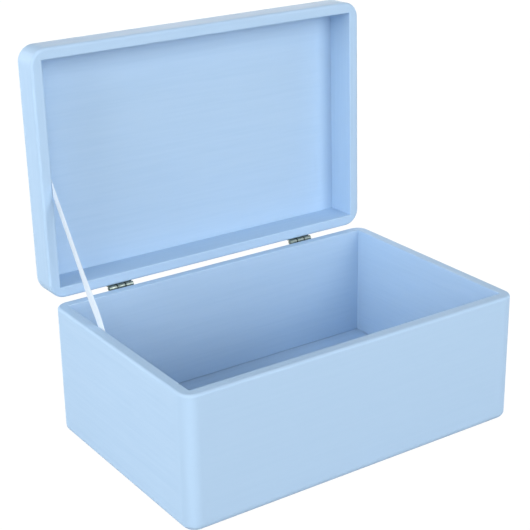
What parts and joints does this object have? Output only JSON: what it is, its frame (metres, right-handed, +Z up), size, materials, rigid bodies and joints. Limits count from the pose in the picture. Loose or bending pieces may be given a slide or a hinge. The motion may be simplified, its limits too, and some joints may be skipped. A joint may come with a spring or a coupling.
{
  "type": "wooden storage box",
  "caption": "Rectangular painted wooden keepsake box with rounded corners and a hinged lid, held open by a ribbon stay on one side; hollow inside for papers.",
  "frame": {"origin": "middle of the footprint, on the surface that the box stands on", "axes": "+X to the right, -Y to the front, +Z up; the hinge pins run along X at the back"},
  "size_m": [0.304, 0.2354, 0.3073],
  "materials": {
    "painted_wood": "satin pale blue paint over wood grain",
    "hinge_brass": "darkened antique",
    "staple_steel": "bright wire",
    "ribbon_white": "woven ribbon"
  },
  "bodies": {
    "box": {"front_board": "painted_wood", "back_board": "painted_wood", "left_end_board": "painted_wood", "right_end_board": "painted_wood", "bottom_panel": "painted_wood", "left_hinge_box_leaf": "hinge_brass", "right_hinge_box_leaf": "hinge_brass", "left_hinge_pin": "hinge_brass", "right_hinge_pin": "hinge_brass", "hinge_box_screws": "hinge_brass", "ribbon_box_staple": "staple_steel", "lid_stay_ribbon": "ribbon_white"},
    "lid": {"lid_front_rail": "painted_wood", "lid_back_rail": "painted_wood", "lid_left_rail": "painted_wood", "lid_right_rail": "painted_wood", "lid_top_panel": "painted_wood", "left_hinge_lid_leaf": "hinge_brass", "right_hinge_lid_leaf": "hinge_brass", "hinge_lid_screws": "hinge_brass", "ribbon_lid_staple": "staple_steel"}
  },
  "joints": [
    {"name": "lid_hinge", "type": "hinge", "parent": "box", "child": "lid", "pos_m": [0, 0.10094, 0.1075], "axis": [1, 0, 0], "range_deg": [0, 91.2], "deforming": ["lid_stay_ribbon"]}
  ]
}
